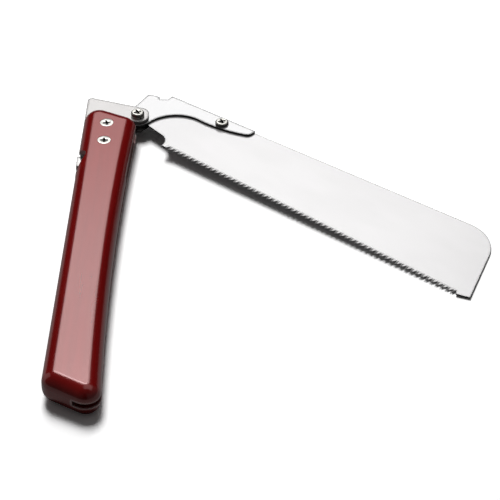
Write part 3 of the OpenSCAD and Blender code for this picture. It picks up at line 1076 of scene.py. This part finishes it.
@dataclass
class CrossScrew:
    """A cross-head screw that stands for a CAD screw."""

    node: str
    body: str
    head: Head
    finish: bpy.types.Material
    # Near-black finish for the cross recess, a painted shade inside it
    recess_shade_finish: bpy.types.Material
    places: Sequence[Pair]
    turns_deg: Sequence[float]
    head_r: float = 4.0 * MM
    shank_r: float = 1.98 * MM
    head_h: float = 1.9 * MM
    crown_r: float = 1.1 * MM
    crown_steps: int = 8
    under_r: float = 0.2 * MM
    under_steps: int = 2
    rim_r: float = 0.18 * MM
    rim_steps: int = 3
    neck_step: float = 0.02 * MM
    tip_bevel: float = 0.45 * MM
    arm_w: float = 1.15 * MM
    arm_l: float = 5.2 * MM
    # Length and width of an arm's bottom, as shares of its top
    arm_taper: Pair = (0.7, 0.85)
    recess: float = 1.3 * MM
    recess_past: float = 0.5 * MM
    lip_w: float = 0.07 * MM
    lip_steps: int = 2
    lip_from_deg: float = 40.0
    at_height: float = 0.005 * MM

    def build(self) -> bpy.types.Object:
        """Model the screws of one node and let them stand for it.

        Returns:
            The piece.
        """
        low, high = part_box(self.node)
        made = [
            self.one(Vector((*place, 0)), low.z, high.z, math.radians(turn))
            for place, turn in zip(self.places, self.turns_deg)
        ]
        piece = made[0]
        if len(made) > 1:
            Bench.join(piece, made[1:])
        piece.name = piece.data.name = self.node + "_crosshead"
        Bench.smooth(piece)
        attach(piece, self.body)
        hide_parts(self.node)
        return piece

    def one(self, place: Vector, low_z: float, top_z: float, turn: float) -> bpy.types.Object:
        """Model one screw.

        Args:
            place: Its axis in plan.
            low_z: Height of its end.
            top_z: Height of its head's top.
            turn: Direction of its cross.

        Returns:
            The screw.
        """
        if self.head is Head.PAN:
            foot = top_z - self.head_h
            screw = Bench.rod("screw", (*place.xy, foot), self.head_h, self.head_r, self.head_r)
            Bench.round_edges(screw, self.rim(top_z), self.crown_r, self.crown_steps)
            Bench.round_edges(screw, self.rim(foot), self.under_r, self.under_steps)
            step = self.head_r - self.under_r - self.shank_r
        else:
            foot = top_z - (self.head_r - self.shank_r)
            neck_r = self.shank_r + self.neck_step
            screw = Bench.rod("screw", (*place.xy, foot), top_z - foot, neck_r, self.head_r)
            Bench.round_edges(screw, self.rim(top_z), self.rim_r, self.rim_steps)
            step = self.neck_step
        Bench.pick(screw, Pick.FACES, Bench.facing((0, 0, -1)))
        bpy.ops.mesh.inset(thickness=step)
        bpy.ops.mesh.extrude_region_move(TRANSFORM_OT_translate={"value": (0, 0, low_z - foot)})
        Bench.clear()
        Bench.round_edges(screw, self.rim(low_z), self.tip_bevel, segments=1)
        dress(screw, self.finish)
        Bench.cut(screw, *self.cross(place, top_z, turn))
        Bench.soften(screw, self.lip_w, self.lip_steps, self.lip_from_deg)
        return screw

    def rim(self, height: float) -> Test:
        """Make a test for the edges at one height.

        Args:
            height: The height.

        Returns:
            The test of an edge.
        """
        return lambda edge: all(abs(v.co.z - height) < self.at_height for v in edge.verts)

    def cross(self, place: Vector, top_z: float, turn: float) -> list[bpy.types.Object]:
        """Make the cutters for the cross recess.

        Args:
            place: The screw's axis in plan.
            top_z: Height of the head's top.
            turn: Direction of the cross.

        Returns:
            One tapered bar for each arm pair.
        """
        half = Vector((self.arm_l / 2, self.arm_w / 2, 0))
        floor = place + Vector((0, 0, top_z - self.recess))
        bars = []
        for bar_turn in (turn, turn + QUARTER_TURN):
            bar = Bench.block(
                "arm", floor - half, place + half + Vector((0, 0, top_z + self.recess_past))
            )
            Bench.pick(bar, Pick.FACES, Bench.facing((0, 0, -1)))
            bpy.ops.transform.resize(value=(*self.arm_taper, 1), center_override=floor)
            bpy.ops.mesh.select_all(action="SELECT")
            bpy.ops.transform.rotate(value=-bar_turn, orient_axis="Z", center_override=floor)
            Bench.clear()
            # The recess's cut faces take the near-black finish as painted shade
            dress(bar, self.recess_shade_finish)
            bars.append(bar)
        return bars


@dataclass
class SteelWork:
    """The CAD nodes that keep their own shape, with their finishes."""

    nodes: dict[str, bpy.types.Object]

    def build(self) -> list[bpy.types.Object]:
        """Dress every node that no other piece stands for.

        Returns:
            The nodes' objects.
        """
        # Each edge colour is dark paint on upright sides, and each rim_r a dark line painted along
        # sharp edges, both standing in for shade and dark reflections
        frame_steel = Steel(
            "frame_steel", (0.478, 0.467, 0.461), 0.22, metal=0.7,
            edge=(0.28, 0.27, 0.26), rim_r=3 * MM,
        ).make()
        lever = Steel(
            "lever_steel", (0.6, 0.59, 0.58), 0.22, edge=(0.03, 0.03, 0.03), rim_r=4 * MM
        ).make()
        brass = Steel("rolled_brass", (0.72, 0.55, 0.26), 0.3, clouds=0.1).make()
        blade = Steel(
            "ground_saw_plate", (0.614, 0.606, 0.608), 0.22, Grain.BLADE, metal=0.55, clouds=0.03,
            edge=(0.02, 0.019, 0.019), rim_r=1.6 * MM, teeth=ToothLine(),
        ).make()
        holder = Steel(
            "bright_holder_sheet", (0.57, 0.568, 0.57), 0.18, Grain.BLADE, metal=0.7, clouds=0.02,
            edge=(0.035, 0.033, 0.032), rim_r=3 * MM,
        ).make()
        plated = Plating("nickel_nut").make()
        finishes = {
            "front_cheek": frame_steel, "rear_cheek": frame_steel, "frame_spacers": frame_steel,
            "stop_pin": frame_steel, "pivot_bush": frame_steel, "lock_pin": frame_steel,
            "pivot_spring_washer": plated, "lock_lever": lever, "pivot_shims": brass,
            "blade": blade, "holder_front_plate": holder, "holder_rear_plate": holder,
            "handle_nuts": plated, "pivot_nut": plated, "blade_nut": plated,
        }
        for node, material in finishes.items():
            dress(self.nodes[node], material)
        return [self.nodes[node] for node in finishes]


@dataclass
class LeafSpring:
    """The lever's leaf spring, kept still: one leg in the handle, the other against the lever."""

    node: str = "lock_spring"
    still_leg: Triple = (-5.2 * MM, 75 * MM, MID_Z)
    lever_leg: Triple = (-9.1 * MM, 75 * MM, MID_Z)
    merge_within: float = 0.002 * MM
    # Its upright sides are painted darker as shade
    finish: Steel = Steel(
        "spring_steel", (0.3, 0.3, 0.31), 0.34, line_depth=0.006 * MM, edge=(0.14, 0.14, 0.14)
    )

    def build(self) -> bpy.types.Object:
        """Make a smoothed copy of the stiff CAD spring and let it stand for it.

        Returns:
            The piece.
        """
        Bench.clear()
        piece = bpy.data.objects.new("bent_leaf_spring", frame["nodes"][self.node].data.copy())
        piece.data.name = piece.name
        bpy.context.scene.collection.objects.link(piece)
        Bench.pick(piece, Pick.VERTS, lambda v: True)
        bpy.ops.mesh.remove_doubles(threshold=self.merge_within)
        Bench.smooth(piece)
        dress(piece, self.finish.make())
        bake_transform(piece)
        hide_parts(self.node)
        return piece


# The studio around the saw


@dataclass(frozen=True)
class Lamp:
    """A rectangular soft lamp. Its radiance is 1 where a white surface in full light has 1."""

    name: str
    place: Triple
    size: Pair
    radiance: float
    in_gloss: bool = True

    def hang(self, aim: Vector) -> None:
        """Hang the lamp so that it faces a point.

        Args:
            aim: The point.
        """
        data = bpy.data.lights.new(self.name, "AREA")
        data.shape = "RECTANGLE"
        data.size, data.size_y = self.size
        data.energy = self.radiance * math.pi * self.size[0] * self.size[1]
        lamp = bpy.data.objects.new(self.name, data)
        bpy.context.scene.collection.objects.link(lamp)
        lamp.location = self.place
        lamp.rotation_euler = (aim - Vector(self.place)).to_track_quat("-Z", "Y").to_euler()
        lamp.visible_camera = False
        lamp.visible_glossy = self.in_gloss


class Hung(Enum):
    """How a card hangs, as its rotation from lying flat."""

    ACROSS = (QUARTER_TURN, 0.0, 0.0)
    ALONG = (QUARTER_TURN, 0.0, QUARTER_TURN)
    FLAT = (0.0, 0.0, 0.0)


@dataclass(frozen=True)
class Card:
    """A card or sheet that only reflections see; dark ones keep rolled edges deep in colour.

    Its size is its width and height in metres, and a tone of 1 is white.
    """

    name: str
    hung: Hung
    place: Triple
    size: Pair
    tone: float

    def hang(self) -> None:
        """Hang the card."""
        Bench.clear()
        bpy.ops.mesh.primitive_plane_add(size=1, location=self.place, rotation=self.hung.value)
        card = bpy.context.active_object
        card.name = self.name
        card.scale = (*self.size, 1)
        card.visible_camera = False
        card.visible_diffuse = False
        card.visible_shadow = False
        material, g = new_material(self.name + "_cloth")
        g.surface("ShaderNodeEmission", {"Strength": self.tone})
        dress(card, material)


@dataclass
class Studio:
    """Floor, lamps, world and camera."""

    lean: float = math.radians(2.35)
    lean_from: float = 9.5 * MM
    floor_size: float = 9.0
    sky: float = 0.07
    aim: Triple = (0.06, 0.02, 0.0)
    lamps: Sequence[Lamp] = (
        Lamp("back_softbox", (-0.135, 1.75, 1.42), (1.27, 1.1), 1.7),
        Lamp("low_softbox", (-0.135, 1.74, 1.13), (1.27, 0.5), 0.35),
        Lamp("top_strip", (-0.25, 1.68, 1.98), (0.9, 0.3), 5.5),
        Lamp("key_lamp", (-0.3, 1.0, 2.0), (0.75, 1.0), 15.0, in_gloss=False),
    )
    cards: Sequence[Card] = (
        Card("back_card", Hung.ACROSS, (0, 2.05, 1.2), (5.2, 3.0), 0.003),
        Card("front_card", Hung.ACROSS, (0, -2.65, 1.2), (1.4, 3.0), 0.01),
        Card("front_left_card", Hung.ACROSS, (-1.65, -2.65, 1.2), (1.9, 3.0), 0.03),
        Card("front_right_sheet", Hung.ACROSS, (1.65, -2.65, 1.2), (1.9, 3.0), 0.06),
        Card("left_card", Hung.ALONG, (-2.6, -1.2, 1.2), (2.9, 3.0), 0.03),
        Card("left_sheet", Hung.ALONG, (-2.6, 1.15, 1.2), (1.8, 3.0), 0.3),
        Card("right_sheet", Hung.ALONG, (2.6, -0.3, 1.2), (4.7, 3.0), 0.06),
        Card("top_left_card", Hung.FLAT, (-1.55, -0.3, 2.7), (2.1, 4.7), 0.02),
        Card("top_front_card", Hung.FLAT, (1.05, -1.5, 2.7), (3.1, 2.3), 0.03),
        Card("top_sheet", Hung.FLAT, (1.05, 0.85, 2.7), (3.1, 2.4), 0.5),
    )
    camera_place: Triple = (0.14095, -1.12025, 0.8961)
    camera_turn_deg: Triple = (51.9, 0.0, 2.63)
    lens: float = 183.6
    sensor: float = 36.0
    camera_reach: float = 50.0

    def build(self) -> None:
        """Set the stage up."""
        self.floor()
        self.world()
        for lamp in self.lamps:
            lamp.hang(Vector(self.aim))
        for card in self.cards:
            card.hang()
        self.camera()
        bpy.context.scene.view_settings.view_transform = "Standard"

    def floor(self) -> None:
        """Lay a pale floor that meets the handle's lower edge and the blade's toe."""
        Bench.clear()
        bpy.ops.mesh.primitive_plane_add(size=self.floor_size, location=(0, 0, 0))
        floor = bpy.context.active_object
        floor.name = "floor"
        bpy.ops.transform.rotate(
            value=self.lean, orient_axis="Y", center_override=(self.lean_from, 0, 0)
        )
        dress(floor, PaperFloor().make())

    def world(self) -> None:
        """Make a white room that the camera and the metal see, with a dimmer light from it."""
        world = bpy.data.worlds.new("studio")
        world.use_nodes = True
        bpy.context.scene.world = world
        g = Graph(world.node_tree)
        camera, gloss, clear = g.rays()
        strength = self.sky + (camera + gloss + clear) * (1 - self.sky)
        g.surface("ShaderNodeBackground", {"Strength": strength}, owner="World")

    def camera(self) -> None:
        """Set up the camera at the photograph's viewing angle."""
        data = bpy.data.cameras.new("camera")
        data.lens = self.lens
        data.sensor_width = self.sensor
        data.clip_end = self.camera_reach
        camera = bpy.data.objects.new("camera", data)
        bpy.context.scene.collection.objects.link(camera)
        camera.location = self.camera_place
        camera.rotation_euler = [math.radians(a) for a in self.camera_turn_deg]
        bpy.context.scene.camera = camera


def main() -> None:
    """Build the stage and then the saw's looks around the CAD frame, and report each piece."""
    Studio().build()
    handle = Handle()
    pieces = [handle.build(), *SteelWork(frame["nodes"]).build(), LeafSpring().build()]
    finishes = (
        # Screw plating with its upright sides painted dark as shade and dark reflection
        Plating("nickel_screw", side=(0.1, 0.096, 0.09)).make(),
        # Near-black plating for the cross recess, standing in for the shade inside it
        Plating("painted_recess_shade", (0.03, 0.028, 0.026), 0.45).make(),
    )
    low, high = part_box("blade_screw")
    blade_screw = ((low.x + high.x) / 2, (low.y + high.y) / 2)
    handle_screws = [(handle.screw_x, y) for y in handle.screw_ys]
    for screw in (
        CrossScrew("pivot_screw", "handle", Head.PAN, *finishes, [tuple(PIVOT)], [25]),
        CrossScrew("blade_screw", "blade", Head.PAN, *finishes, [blade_screw], [20]),
        CrossScrew("handle_screws", "handle", Head.COUNTERSUNK, *finishes, handle_screws, [15, 3]),
    ):
        pieces.append(screw.build())
    for piece in pieces:
        log.info("%s: %s", piece.name, piece.data.materials[0].name)


if __name__ == "__main__":
    main()
